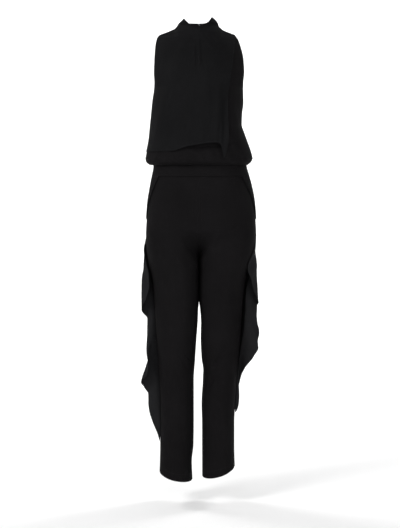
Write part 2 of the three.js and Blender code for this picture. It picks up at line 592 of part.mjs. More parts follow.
function legPanel(side, face) {
  const front = face === "front";
  const flip = side === "left";
  const surface = (u, z) => {
    const start = front ? innerGap(z) : Math.PI + sideGap(z);
    const end = front ? Math.PI - sideGap(z) - pocketSwing(z) : 2 * Math.PI - innerGap(z);
    const turn = mix(start, end, clamp(u));
    return legPoint(side, turn, z + hemLift(side, turn, z));
  };
  const fold = (u, z) => {
    const point = surface(u, z);
    return foldHeight(front ? "legFront" : "legBack", point.x, z) * smooth(clamp(Math.min(u, 1 - u) * 6));
  };
  const low = HEM[side].low;
  return wall(`leg_${face}_${side}`, CREPE, surface, {
    us: steps(0, 1, 9),
    vs: [...steps(TROUSER_TOP, CROTCH, 11), ...steps(CROTCH, low, 25).slice(1)],
    flip,
    lift: fold,
  });
}

function pocket(side) {
  const surface = (u, z) => {
    const turn = mix(Math.PI - pocketSwing(z) - POCKET.tuck, Math.PI - sideGap(z), clamp(u));
    return legPoint(side, turn, z);
  };
  return wall(`pocket_${side}`, CREPE, surface, {
    us: steps(0, 1, 5),
    vs: steps(TROUSER_TOP, TROUSER_TOP - POCKET.height, 6),
    flip: side === "left",
    lift: () => -POCKET.depth,
  });
}

// A flounce: down runs along the seam, out from the seam to the free edge.
function flounce(side) {
  const rows = FLOUNCE[side];
  const sign = side === "right" ? -1 : 1;
  const surface = (seam, out) => {
    const at = (column) => read(rows, column, "seam", seam);
    const swing = THREE.MathUtils.degToRad(at("swing")) * out * (0.25 + 0.75 * Math.abs(out));
    const z = seam - at("drop") * out * (0.4 + 0.6 * Math.abs(out));
    const off = 1.2 + at("clear") * out + at("belly") * Math.sin(Math.PI * out);
    const turn = Math.PI - swing;
    const step = 1e-3;
    const along = legPoint(side, turn + step, z).sub(legPoint(side, turn - step, z));
    const outward = new THREE.Vector3(along.y, -along.x, 0).normalize().multiplyScalar(sign);
    const point = legPoint(side, turn, z).addScaledVector(outward, off);
    point.y -= at("crest") * smooth(clamp(out / CREST_REACH)) * (1 - 0.5 * out);
    return point;
  };
  const first = rows[0].seam;
  const last = rows[rows.length - 1].seam;
  return wall(`flounce_${side}`, LIGHT_CREPE, surface, {
    us: steps(first, last, 60),
    vs: steps(0, 1, 7),
    lift: () => FLOUNCE_CLOTH / 2,
    thickness: FLOUNCE_CLOTH,
  });
}

function jumpsuit() {
  const group = new THREE.Group();
  const half = bodiceColumns();
  const mirrored = half.slice(1).map((share) => -share).reverse();
  const seamShare = 0.0015; // half the gap at the centre-back seam
  const backHalf = [seamShare, ...half.slice(1)];
  const quarter = Math.PI / 2;
  const ringGap = 0.0005; // half a seam's gap as an angle on the waistband
  group.add(
    bodicePanel("bodice_front", "front", [...mirrored, ...half]),
    bodicePanel("bodice_back_left", "back", backHalf),
    bodicePanel("bodice_back_right", "back", backHalf.map((share) => -share).reverse()),
    overlay(),
    collar(),
    waistbandPiece("waistband_front", -quarter + ringGap, quarter - ringGap, 18),
    waistbandPiece("waistband_back_left", quarter + ringGap, Math.PI - ringGap, 9),
    waistbandPiece("waistband_back_right", -Math.PI + ringGap, -quarter - ringGap, 9),
  );
  for (const side of ["right", "left"]) {
    group.add(legPanel(side, "front"), legPanel(side, "back"), pocket(side), flounce(side));
  }
  return group;
}

export default jumpsuit();
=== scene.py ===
"""A sleeveless black crepe jumpsuit in the shape it takes when worn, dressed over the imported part.

Every panel is a thin shell on the form of its solid, with finer creases, hems and seams, and stands in for
that solid. Sizes in the tables are in millimetres, +Z up, with the front towards -Y. Left and right are the
wearer's.
"""

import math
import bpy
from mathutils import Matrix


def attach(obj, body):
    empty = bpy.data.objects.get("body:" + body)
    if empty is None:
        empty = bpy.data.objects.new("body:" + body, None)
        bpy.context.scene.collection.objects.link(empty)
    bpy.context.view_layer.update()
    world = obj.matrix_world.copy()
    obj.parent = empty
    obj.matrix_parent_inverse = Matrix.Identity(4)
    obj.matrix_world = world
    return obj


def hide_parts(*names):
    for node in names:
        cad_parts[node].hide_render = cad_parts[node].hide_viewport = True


bl_info = {
    "name": "Crepe Jumpsuit",
    "version": (1, 0, 0),
    "blender": (4, 5, 0),
    "location": "View3D > Sidebar > Jumpsuit",
    "description": "Builds the cloth panels of a flounced jumpsuit, their crepe and a plain studio stage",
    "category": "Add Mesh",
}

import bmesh
import bpy
import numpy as np

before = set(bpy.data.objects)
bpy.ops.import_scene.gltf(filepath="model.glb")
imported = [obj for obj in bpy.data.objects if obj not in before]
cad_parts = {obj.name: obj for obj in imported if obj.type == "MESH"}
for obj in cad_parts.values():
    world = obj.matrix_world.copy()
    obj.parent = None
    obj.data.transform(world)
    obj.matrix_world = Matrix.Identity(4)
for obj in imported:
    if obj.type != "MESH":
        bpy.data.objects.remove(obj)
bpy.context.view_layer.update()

MM = 0.001


def table(columns, rows):
    """Columns of numbers by name, from a row for each section or fold."""
    return {name: np.array([row[k] for row in rows]) for k, name in enumerate(columns.split())}


def by_face(groups):
    """Tables of folds by the face that they lie on."""
    return {face: table("x z length width slant height", rows) for face, rows in groups.items()}


# Levels, and where the side seams lie behind the middle
UNDERARM = -185
SHOULDER_TIP = -18
WAIST_SEAM = -408
TROUSER_TOP = -459.6
RISE_START = -620
CROTCH = -735
HEM_CURL = -1300
SIDE_Y = 6

# The neck seam, the collar's top edge, and half the gap at its back in radians
NECK = {"right": 69, "left": 62, "front_dip": -25, "back_dip": 4, "curve": 2.4}
COLLAR_TOP = {"right": 51, "left": 44, "front": 62, "back": 43}
COLLAR_TOP_Z = {"right": 25.5, "left": 34.5, "front": 9, "back": 27}
COLLAR_BULGE = 1.5
COLLAR_GAP = 0.006
COLLAR_CLEAR = 0.6

# The overlay's top edge at the middle, how far it stays within the collar's top and under the shoulder, and
# the share of the half-width that it reaches at the right seam
OVERLAY_DIP = -8
OVERLAY_INSET = {"side": 3, "top": 1.2}
OVERLAY_REACH = 0.994

# The overlay's lift at its edges, in the middle and at the hem, and what its free corner and the collar add
OVERLAY_LIFT = {"edge": 1.7, "middle": 2.4, "hem": 9, "corner": 6, "collar": 3.4}

# How square each ring is, where 2 is an ellipse
RING_SQUARE = 2.3
HIP_SQUARE = 3
LEG_SQUARE = 2.15

# Each hem's level at the inseam, and how far it rises towards the side seam
HEM = {"right": {"low": -1439, "rise": 24}, "left": {"low": -1428, "rise": 32}}

# A slant pocket: how far round the leg its opening starts and the side piece runs on under the front, both
# in radians, the opening's height, and how far the side piece is set in
POCKET = {"swing": 1.05, "height": 135, "tuck": 0.2, "depth": 2.0}

# Each vertex's distance from the nearest hem, along it and from the nearest seam, and whether it hangs free,
# which is where a flounce gets its painted backlight
MEASURES = ("hem_mm", "run_mm", "seam_mm", "free")
FAR = 500  # from a hem or seam that a panel lacks

# A crepe's yarn and pebbles in metres, the stitching's distance from the hem, and the roughness
CREPES = {
    "crepe": {"yarn": 0.0005, "pebble": 0.0009, "stitch_at": 24, "roughness": 0.84},
    "light_crepe": {"yarn": 0.0004, "pebble": 0.0007, "stitch_at": 4, "roughness": 0.80},
}

# Stitches and puckers: half widths, waves in radians a millimetre, the wave's level where a stitch ends, how
# many times paler the thread is, and the share of a pucker left a millimetre further from the seam
STITCH = {"thread": 0.34, "dimple": 1.1, "wave": 2.3, "end": -0.35, "paler": 2.4}
PUCKER = {"wave": 0.62, "left": 0.82}

# The paper under and behind, in metres: it lies flat from behind the camera on, and then bends up
SWEEP = {"width": 16, "length": 17, "flat": 11, "bend": 2.5, "front": 5.5}

# Each light: its place and what it faces, in metres, and its size
LIGHTS = (
    ("key", (-3.0, -2.6, 1.7), (0, 0, -0.6), 1.4),
    ("fill", (2.4, -3.2, 0.4), (0, 0, -0.8), 2.4),
    ("front", (-0.2, -4.4, 0.4), (0, 0, -0.8), 2.0),
    ("backdrop_light", (-3.2, 2.4, 2.4), (-0.6, 6.5, -1.2), 2.2),
    ("backdrop_light", (3.2, 2.4, 2.4), (0.6, 6.5, -1.2), 2.2),
)

# The torso from the collar down to the blouse's widest ring
TORSO = table("z right left front back front_edge back_edge square round", [
    (36, 44, 40, 58, 42, 0, 0, 2.0, 0.5),
    (26, 52, 51.5, 62, 45, 0, 0, 2.1, 0.48),
    (15, 63.5, 60, 66, 48, 1, 1, 2.1, 0.5),
    (6, 71, 63, 68, 51, 2, 2, 1.7, 0.7),
    (-6, 97, 87, 71, 57, 2, 2, 1.5, 0.85),
    (-18, 126, 116, 74, 62, 0, 3, 1.5, 0.9),
    (-30, 131.5, 123, 78, 67, -17, 20, 1.6, 0.88),
    (-54, 135.5, 131, 87, 75, -29, 32, 1.8, 0.8),
    (-92, 138, 139.5, 99, 84, -38, 41, 2.0, 0.7),
    (-135, 139.5, 142, 110, 91, -37, 40, 2.1, 0.58),
    (-165, 138.5, 139.6, 115, 94, -26, 31, 2.2, 0.5),
    (-185, 140.5, 140, 118, 95, 6, 6, 2.3, 0.435),
    (-227, 146.5, 141, 122, 97, 6, 6, 2.3, 0.435),
    (-262, 150, 137, 121, 95, 6, 6, 2.3, 0.435),
    (-295, 153.5, 136, 119, 94, 6, 6, 2.3, 0.435),
    (-321, 156, 144, 118, 96, 6, 6, 2.3, 0.435),
    (-352, 160, 155.5, 119, 101, 6, 6, 2.3, 0.435),
    (-382, 166.5, 166, 123, 107, 6, 6, 2.3, 0.435),
    (-402, 170.5, 171, 126, 110, 6, 6, 2.3, 0.435),
])
BLOUSE_TURN = table("turn z right left front back", [
    (0, -402, 170.5, 171, 126, 110),
    (0.2, -412, 169, 167, 125, 109),
    (0.4, -420, 162, 159, 119.5, 103),
    (0.6, -424, 153, 153, 112.5, 97),
    (0.8, -420, 146, 149.6, 107.5, 92.5),
    (1, -409, 144, 148.5, 106, 91),
])
WAISTBAND = table("z right left front back", [
    (-408, 142.8, 147.3, 104.8, 89.8),
    (-429, 143.2, 150, 105.2, 90.3),
    (-447, 145.7, 155, 105.8, 91.2),
    (-459.3, 148.8, 158.8, 106.1, 92.1),
])
HIP = table("z right left front back", [
    (-459, 149, 159, 106, 92),
    (-489, 154.5, 167, 109, 97),
    (-538, 162, 175.5, 111, 106),
    (-603, 166.6, 180, 112, 113),
    (-635, 168.5, 181.5, 111, 115),
    (-680, 168.5, 179, 108, 113),
    (-720, 165, 172, 103, 108),
    (-735, 163, 168, 100, 106),
])
LEG = {"right": table("z outer inner front back", [
    (-620, 168, 0.4, 117, 123),
    (-735, 163, 0.4, 92, 98),
    (-765, 157, 0.4, 88, 94),
    (-798, 150.5, 0.4, 84, 90),
    (-853, 144, 0.8, 78, 84),
    (-886, 141.5, 3.8, 74, 81),
    (-925, 139.5, 5.1, 71, 78),
    (-976, 136, 9, 67, 75),
    (-1044, 131.5, 13.4, 62, 72),
    (-1115, 127, 18, 58, 71),
    (-1173, 124.5, 18, 55, 70),
    (-1252, 123.5, 18, 52, 67),
    (-1323, 124.5, 19, 50, 63),
    (-1380, 125.5, 24.5, 49, 60),
    (-1439, 128, 22.5, 49, 58),
]), "left": table("z outer inner front back", [
    (-620, 181, 0.4, 117, 123),
    (-735, 168, 0.4, 92, 98),
    (-765, 157, 0.4, 88, 94),
    (-798, 148.5, 0.4, 84, 90),
    (-853, 141, 0.9, 78, 84),
    (-886, 139, 4.8, 74, 81),
    (-925, 136.5, 7.5, 71, 78),
    (-976, 133, 6.6, 67, 75),
    (-1044, 127.5, 9.5, 62, 72),
    (-1080, 124.5, 14.5, 60, 71),
    (-1115, 121, 13.4, 58, 71),
    (-1190, 116, 9.5, 54, 69),
    (-1252, 113, 10.9, 52, 67),
    (-1323, 113, 11.2, 50, 63),
    (-1428, 116, 11.5, 49, 58),
])}

# The overlay's free edge on the wearer's left, and its hem with the corner that hangs lower
OVERLAY_EDGE = table("z x", [
    (-18, 114),
    (-60, 111),
    (-100, 106),
    (-170, 96),
    (-236, 88),
    (-300, 86),
    (-410, 86),
])
OVERLAY_HEM = table("along z", [
    (-1, -382),
    (-0.5, -380),
    (-0.2, -366),
    (0.18, -358),
    (0.62, -355),
    (0.76, -362),
    (0.86, -403),
    (0.94, -378),
    (1, -352),
])

# The share of a flounce's width in which it comes forward, and how many times paler its hanging cloth is
# painted than the overlay, as painted backlight shining through the single layer
CREST_REACH = 0.16
FLOUNCE_PAINTED_BACKLIGHT = 1.9

# A row for each turn of a flounce's free edge: the seam's level, how far the edge swings round the leg in
# degrees, how far it stands off the leg, how much the cloth between bulges outwards beyond that, how far it
# comes forward beside the seam, and how far the edge falls below the seam
FLOUNCE = {"right": table("seam swing clear belly crest drop", [
    (-655, 4, 1.3, 0, 0, 5),
    (-672, 12, 9, 2, 0, 40),
    (-689, 20, 8, 4, 0, 51),
    (-706, 27, 11, 7, 0, 61),
    (-730, 24, 18, 11, 0, 86),
    (-758, 18, 27, 17, 0, 87),
    (-788, 5, 42, 10, 0, 93),
    (-812, -6, 38, 6, 0, 88),
    (-836, -12, 28, 4, 0, 82),
    (-864, -12, 29, 3, 0, 77),
    (-897, -12, 31, 3, 0, 74),
    (-936, 3, 37, 5, 0, 78),
    (-973, 17, 35, 6, 0, 87),
    (-1004, 12, 41, 8, 0, 90),
    (-1034, 0, 59, 6, 0, 88),
    (-1062, -12, 54, 4, 0, 80),
    (-1090, -16, 43, 3, 0, 75),
    (-1122, -17, 43, 2, 0, 69),
    (-1155, -14, 39, 2, 0, 63),
    (-1197, -8, 27, 1, 0, 57),
    (-1245, 0, 8, 0, 0, 50),
    (-1288, 2, 1.5, 0, 0, 28),
]), "left": table("seam swing clear belly crest drop", [
    (-640, 8, 0.8, 0, 0, 6),
    (-662, 25, 1.2, 1, 0, 34),
    (-684, 36, 3, 2, 0, 56),
    (-706, 27, 21, 5, 0, 78),
    (-738, 18, 41, 9, 4, 98),
    (-766, 5, 51, 7, 14, 95),
    (-792, -5, 46, 4, 22, 83),
    (-820, 0, 46, 0, 26, 77),
    (-851, 8, 50, 0, 28, 75),
    (-882, 14, 60, 0, 28, 75),
    (-906, 11, 56, 0, 28, 74),
    (-930, 14, 61, 0, 26, 76),
    (-955, 17, 51, 0, 22, 75),
    (-980, 16, 38, 0, 16, 70),
    (-1010, 10, 22, 0, 10, 62),
    (-1045, 3, 13, 0, 4, 52),
    (-1090, -4, 9, 0, 0, 48),
    (-1140, -4, 12, 0, 0, 44),
    (-1175, 0, 9, 0, 0, 34),
    (-1205, 0, 2, 0, 0, 16),
])}

# Folds by the face they lie on: the middle's place, half length, half width, slant from upright in degrees
# (positive leans to +X at the top), and how far each stands proud, or sinks where negative
FOLDS = by_face({"overlay": [
    (-7, -82, 40, 4.5, 0, -2.2),
    (1, -80, 42, 5, -3, 3),
    (58, -270, 90, 13, 4, 4),
    (-95, -215, 120, 18, 14, 4),
], "front": [
    (108, -350, 52, 11, -24, -4),
    (-30, -398, 34, 13, 40, 4),
    (40, -400, 30, 14, -30, 4),
    (-108, -396, 30, 15, 25, 3.5),
], "back": [
    (-90, -350, 60, 15, -14, 4),
    (78, -345, 66, 15, 16, 4),
    (-28, -385, 34, 13, 10, -3.5),
], "leg_front": [
    (64, -1036, 30, 9, 28, 3),
    (45, -1095, 28, 8, 26, 3),
    (-52, -1040, 32, 9, -30, 3),
    (-96, -1190, 80, 10, 2, 3),
    (34, -690, 52, 12, 34, -3),
    (-34, -700, 50, 12, -34, -3),
], "leg_back": [
    (-66, -760, 34, 10, -58, 3.5),
    (66, -765, 34, 10, 58, 3.5),
    (-70, -1060, 30, 9, 55, 3),
    (66, -1065, 30, 9, -55, 3),
]})

# Finer creases, too slight for the solids
CREASES = by_face({"overlay": [
    (28, -44, 26, 6, -38, 1.6),
    (40, -34, 20, 5, -52, 1.4),
    (52, -58, 30, 8, -30, 1.2),
    (-34, -42, 22, 6, 40, 1.3),
    (-52, -62, 34, 8, 24, 1.0),
    (-62, -120, 70, 12, 10, 1.2),
    (24, -180, 90, 10, -3, 1.0),
    (-28, -260, 84, 11, 5, 1.1),
    (70, -330, 50, 6, 6, 1.6),
    (-132, -300, 80, 8, 12, 1.2),
], "front": [
    (120, -300, 60, 7, -10, 1.4),
    (24, -366, 62, 10, 86, -6),
    (-12, -384, 30, 7, -72, 2.2),
    (132, -240, 50, 6, -4, 1.0),
    (96, -396, 22, 7, -12, 2.0),
    (128, -398, 20, 6, -20, 2.0),
    (66, -402, 18, 7, 8, 1.8),
    (10, -404, 18, 8, -6, 1.9),
    (-62, -402, 20, 8, 18, 2.1),
    (-84, -404, 16, 6, 4, 1.6),
    (-134, -402, 22, 6, 26, 2.0),
], "back": [
    (-50, -372, 44, 8, -6, 1.8),
    (40, -378, 40, 7, 8, 1.9),
    (108, -380, 36, 8, 22, 1.7),
    (-118, -384, 34, 8, -20, 1.8),
    (-8, -396, 22, 7, 4, 1.6),
    (60, -120, 70, 12, 12, 1.3),
    (-64, -130, 66, 13, -12, 1.3),
    (-100, -220, 60, 11, -24, 1.2),
    (96, -232, 64, 10, 26, 1.2),
], "leg_front": [
    (52, -1052, 24, 4.5, 34, 2.6),
    (36, -1120, 24, 4.5, 18, 2.4),
    (60, -1120, 26, 6, 30, 1.5),
    (84, -1012, 32, 7, 44, 1.2),
    (-34, -1034, 20, 4.5, -44, 2.4),
    (-66, -1092, 30, 7, -18, 1.4),
    (-108, -1090, 60, 8, 4, 1.2),
    (-60, -820, 90, 10, -4, 1.4),
    (76, -850, 110, 12, 3, 1.3),
    (-104, -900, 90, 10, -3, 1.3),
    (118, -760, 80, 11, 6, 1.4),
    (-120, -740, 80, 10, -8, 1.3),
    (22, -660, 36, 6, 42, -0.6),
    (-20, -668, 34, 6, -44, -0.6),
    (58, -640, 60, 10, 56, -1.2),
    (-56, -648, 56, 10, -58, -1.2),
    (70, -1240, 70, 9, -4, 1.3),
    (44, -1330, 50, 8, 6, 1.2),
    (92, -1350, 50, 7, -8, 1.1),
    (-60, -1290, 60, 9, 4, 1.2),
    (-100, -1350, 44, 7, -6, 1.2),
], "leg_back": [
    (-40, -790, 30, 7, -50, 1.8),
    (44, -796, 30, 7, 50, 1.8),
    (-90, -800, 36, 8, -40, 1.5),
    (92, -806, 36, 8, 42, 1.5),
    (-50, -1030, 26, 6, 48, 1.6),
    (48, -1034, 26, 6, -48, 1.6),
    (-84, -1100, 28, 7, 50, 1.5),
    (80, -1106, 28, 7, -50, 1.5),
    (-70, -1240, 70, 9, 3, 1.3),
    (66, -1250, 66, 9, -4, 1.3),
    (-100, -640, 70, 13, -10, 1.2),
    (104, -644, 70, 13, 12, 1.2),
]})


def linear(code):
    """A hex colour as the linear red, green and blue that a shader takes."""
    channels = [int(code[k:k + 2], 16) / 255 for k in (1, 3, 5)]
    return tuple(c / 12.92 if c <= 0.04045 else ((c + 0.055) / 1.055) ** 2.4 for c in channels)


def mix(a, b, t):
    return a + (b - a) * t


def clamp(t):
    return np.clip(t, 0, 1)


def smooth(t):
    return t * t * (3 - 2 * t)


def read(rows, column, key, place):
    """A table's column read between its rows, along a curve that never overshoots them."""
    x, y = rows[key].astype(float), rows[column].astype(float)
    if x[0] > x[-1]:
        x, y = x[::-1], y[::-1]
    slopes = np.diff(y) / np.diff(x)
    before, after = slopes[:-1], slopes[1:]
    same_way = before * after > 0
    total = np.where(same_way, before + after, 1)
    inner = np.where(same_way, 2 * before * after / total, 0)
    tangents = np.concatenate([slopes[:1], inner, slopes[-1:]])
    k = np.clip(np.searchsorted(x, place) - 1, 0, len(x) - 2)
    span = x[k + 1] - x[k]
    t = clamp((place - x[k]) / span)
    t2, t3 = t * t, t * t * t
    start = (2 * t3 - 3 * t2 + 1) * y[k] + (t3 - 2 * t2 + t) * span * tangents[k]
    end = (3 * t2 - 2 * t3) * y[k + 1] + (t3 - t2) * span * tangents[k + 1]
    return start + end


def level(rows, column, z):
    return read(rows, column, "z", z)


def by_side(rows, x, z):
    """The half-width on the side where each x lies."""
    return np.where(x < 0, level(rows, "right", z), level(rows, "left", z))


def side_value(values, x):
    return np.where(x < 0, float(values["right"]), float(values["left"]))


def fold_height(folds, face, x, z):
    """How far the folds of one face stand proud at each place."""
    total = np.zeros_like(x)
    for place_x, place_z, length, width, slant, height in zip(*folds[face].values()):
        lean = math.radians(slant)
        dx, dz = x - place_x, z - place_z
        across = (dx * math.cos(lean) - dz * math.sin(lean)) / width
        along = (dx * math.sin(lean) + dz * math.cos(lean)) / length
        total += height * np.exp(-across**2 - along**4)
    return total


def drift(points, size, seed):
    """Soft uneven waves from about -1 to 1, each roughly one size long in millimetres."""
    total = np.zeros(len(points))
    for k in range(9):
        turn, tip = seed * 1.37 + k * 2.39996, math.sin(seed * 0.73 + k * 1.9) * 0.6
        way = np.array([math.cos(turn) * math.cos(tip), math.sin(turn) * math.cos(tip), math.sin(tip) * 0.8])
        total += np.sin(points @ way * (2 * math.pi / (size * (0.75 + 0.11 * k))) + seed * 3.1 + k * 4.7)
    return total / 4.2


def torso_y(face, x, z):
    """Depth of the torso's front or back at a place seen from the front."""
    share = np.minimum(1, np.abs(x) / by_side(TORSO, x, z))
    edge = level(TORSO, face + "_edge", z)
    middle = -level(TORSO, "front", z) if face == "front" else level(TORSO, "back", z)
    return mix(edge, middle, (1 - share ** level(TORSO, "square", z)) ** level(TORSO, "round", z))


def outline_z(x):
    """Height of the shoulder and collar outline over each x."""
    high, low = np.full_like(x, TORSO["z"][0]), np.full_like(x, float(SHOULDER_TIP))
    for _ in range(30):
        middle = (high + low) / 2
        inside = by_side(TORSO, x, middle) < np.abs(x)
        high, low = np.where(inside, middle, high), np.where(inside, low, middle)
    return (high + low) / 2


def bodice_top_z(face, share):
    """Top edge of the bodice over a share of the shoulder's width: the neck seam, then the shoulder seam."""
    tip = by_side(TORSO, share, np.full_like(share, float(SHOULDER_TIP)))
    distance, neck = np.abs(share) * tip, side_value(NECK, share)
    sign = np.where(share < 0, -1.0, 1.0)
    neck_side = outline_z(sign * neck)
    across_neck = mix(NECK[face + "_dip"], neck_side, clamp(distance / neck) ** NECK["curve"])
    return np.where(distance >= neck, outline_z(sign * distance), across_neck)


def bodice_point(face, share, v):
    """v from 0 to 1 is shoulder to underarm, 1 to 2 down to the widest ring, 2 to 3 the turn under."""
    sign, reach = np.where(share < 0, -1.0, 1.0), np.minimum(1, np.abs(share))
    down = clamp(v)
    edge_z = mix(SHOULDER_TIP, UNDERARM, down)
    top_x = sign * reach * by_side(TORSO, share, edge_z)
    top_z = mix(bodice_top_z(face, sign * reach), UNDERARM, down)
    top_y = torso_y(face, top_x, top_z)
    ring_z = mix(UNDERARM, BLOUSE_TURN["z"][0], clamp(v - 1))
    turn = clamp(v - 2)
    turned = v > 2
    right, left = (read(BLOUSE_TURN, name, "turn", turn) for name in ("right", "left"))
    side = np.where(share < 0, right, left)
    half = np.where(turned, side, by_side(TORSO, share, ring_z))
    depth = np.where(turned, read(BLOUSE_TURN, face, "turn", turn), level(TORSO, face, ring_z))
    low_z = np.where(turned, read(BLOUSE_TURN, "z", "turn", turn), ring_z)
    edge = level(TORSO, face + "_edge", ring_z)
    middle = -depth if face == "front" else depth
    bulge = (1 - reach ** level(TORSO, "square", ring_z)) ** level(TORSO, "round", ring_z)
    above = v < 1
    x = np.where(above, top_x, sign * reach * half)
    y = np.where(above, top_y, mix(edge, middle, bulge))
    return np.stack([x, y, np.where(above, top_z, low_z)], axis=1)


def overlay_point(along, v):
    """Along runs from -1 at the wearer's right seam to 1 at the free edge, v from the top to the hem."""
    reach = np.where(along < 0, -OVERLAY_REACH * along, along)
    right_tip = level(TORSO, "right", np.array([float(SHOULDER_TIP)]))[0]
    tip = np.where(along < 0, right_tip, OVERLAY_EDGE["x"][0])
    distance = np.abs(along) * tip
    sign = np.where(along < 0, -1.0, 1.0)
    corner = side_value(COLLAR_TOP, along) - OVERLAY_INSET["side"]
    corner_z = outline_z(sign * corner) - OVERLAY_INSET["top"]
    sag = mix(OVERLAY_DIP, corner_z, clamp(distance / corner) ** 2)
    shoulder_z = outline_z(sign * np.maximum(distance, 1)) - OVERLAY_INSET["top"]
    top_z = np.where(distance >= corner, shoulder_z, sag)
    edge_z = mix(SHOULDER_TIP, OVERLAY_HEM["z"][0], clamp(v))
    z = mix(top_z, read(OVERLAY_HEM, "z", "along", along), clamp(v))
    half = np.where(along < 0, level(TORSO, "right", edge_z), level(OVERLAY_EDGE, "x", edge_z))
    x = sign * reach * half
    return np.stack([x, torso_y("front", x, z), z], axis=1)


def overlay_surface(along, v):
    """The overlay lifted off the bodice, most at its hem and its free corner."""
    point = overlay_point(along, v)
    x, z = point[:, 0], point[:, 2]
    inward = smooth(clamp((1 + along) * 4)) * smooth(clamp(v * 7))
    loose = smooth(clamp((v - 0.55) / 0.45)) * smooth(clamp((along + 0.75) / 0.9))
    fold = fold_height(FOLDS, "overlay", x, z) * inward
    over_collar = smooth(clamp((z + 34) / 22)) * smooth(clamp((NECK["right"] + 10 - np.abs(x)) / 16))
    lift = mix(OVERLAY_LIFT["edge"], OVERLAY_LIFT["middle"], inward) + OVERLAY_LIFT["collar"] * over_collar
    curl = OVERLAY_LIFT["corner"] * smooth(clamp((along - 0.7) / 0.3)) * smooth(clamp((v - 0.45) / 0.55))
    lift = lift + (OVERLAY_LIFT["hem"] - OVERLAY_LIFT["middle"]) * loose + curl + fold + 1
    outwards = np.where(along < 0, -0.9, 0.3) * np.abs(along) ** 3
    way = np.stack([outwards, -np.ones_like(x), smooth(clamp((z + 60) / 50))], axis=1)
    way /= np.linalg.norm(way, axis=1)[:, None]
    return point + way * (lift * math.sqrt(2))[:, None]


def collar_surface(turn, height):
    """Turn runs round the neck with 0 at the front, height from the neck seam up to the top edge."""
    sin, cos = np.sin(turn), np.cos(turn)
    front = np.abs(turn) <= math.pi / 2
    x = side_value(NECK, sin) * sin
    tip = by_side(TORSO, sin, np.full_like(sin, float(SHOULDER_TIP)))
    front_z, back_z = bodice_top_z("front", x / tip), bodice_top_z("back", x / tip)
    z = np.where(front, front_z, back_z)
    base = np.stack([x, np.where(front, torso_y("front", x, z), torso_y("back", x, z)), z], axis=1)
    reach, side_z = np.abs(sin), side_value(COLLAR_TOP_Z, sin)
    front_top = mix(COLLAR_TOP_Z["front"], side_z, reach**1.6)
    back_top = mix(COLLAR_TOP_Z["back"], side_z, reach**3)
    depth = np.where(front, -COLLAR_TOP["front"], COLLAR_TOP["back"]) * np.abs(cos)
    top = np.stack([side_value(COLLAR_TOP, sin) * sin, depth, np.where(front, front_top, back_top)], axis=1)
    rise = top - base
    base = base + rise / np.linalg.norm(rise, axis=1)[:, None] * COLLAR_CLEAR
    out = np.stack([sin, -cos, np.zeros_like(sin)], axis=1)
    bulge = COLLAR_BULGE * np.sin(math.pi * clamp(height))
    return base + (top - base) * height[:, None] + out * bulge[:, None]


def ring_surface(turn, z):
    """The waistband's ring: turn runs round it with 0 at the front."""
    sin, cos = np.sin(turn), np.cos(turn)
    x = by_side(WAISTBAND, sin, z) * np.sign(sin) * np.abs(sin) ** (2 / RING_SQUARE)
    depth = np.where(cos > 0, -level(WAISTBAND, "front", z), level(WAISTBAND, "back", z))
    return np.stack([x, mix(SIDE_Y, depth, np.abs(cos) ** (2 / RING_SQUARE)), z], axis=1)


def leg_point(side, turn, z):
    """Turn runs from 0 at the centre front or inseam through half a turn at the side seam."""
    sign = -1 if side == "right" else 1
    rows, power = LEG[side], 2 / LEG_SQUARE
    outer = np.where(z > CROTCH, level(HIP, side, z), level(rows, "outer", z))
    inner = level(rows, "inner", z)
    front = np.sin(turn) >= 0
    sin, cos = np.abs(np.sin(turn)), np.cos(turn)
    leg_x = (outer + inner) / 2 - (outer - inner) / 2 * np.sign(cos) * np.abs(cos) ** power
    leg_y = mix(SIDE_Y, np.where(front, -level(rows, "front", z), level(rows, "back", z)), sin**power)
    half, across = np.abs(np.sin(turn / 2)), np.abs(np.cos(turn / 2))
    down = smooth(clamp((z - TROUSER_TOP) / (RISE_START - TROUSER_TOP)))
    hip_power = 2 / mix(RING_SQUARE, HIP_SQUARE, down)
    hip_x = outer * half**hip_power
    hip_depth = np.where(front, -level(HIP, "front", z), level(HIP, "back", z))
    hip_y = mix(SIDE_Y, hip_depth, across**hip_power)
    joined = smooth(clamp((z - CROTCH) / (RISE_START - CROTCH)))
    return np.stack([sign * mix(leg_x, hip_x, joined), mix(leg_y, hip_y, joined), z], axis=1)


def hem_lift(side, turn, z):
    """How far a slanted hem raises the leg at each place."""
    low, rise = HEM[side]["low"], HEM[side]["rise"]
    return rise * (0.5 - 0.5 * np.cos(turn)) ** 2 * smooth(clamp((HEM_CURL - z) / (HEM_CURL - low)))


def pocket_swing(z):
    """How far round the leg from the side seam the pocket opening lies."""
    return POCKET["swing"] * clamp((z - TROUSER_TOP + POCKET["height"]) / POCKET["height"])


def leg_surface(side, face):
    """One face of a leg: u runs across it from 0 to 1, z is the level."""
    def surface(u, z):
        start = 0 if face == "front" else math.pi
        end = math.pi - pocket_swing(z) if face == "front" else 2 * math.pi
        turn = mix(start, end, u)
        return leg_point(side, turn, z + hem_lift(side, turn, z))
    return surface


def pocket_surface(side):
    """The side piece behind a pocket opening, from under the front to the side seam."""
    def surface(u, z):
        start = math.pi - pocket_swing(z) - POCKET["tuck"]
        return leg_point(side, mix(start, math.pi, u), z)
    return surface


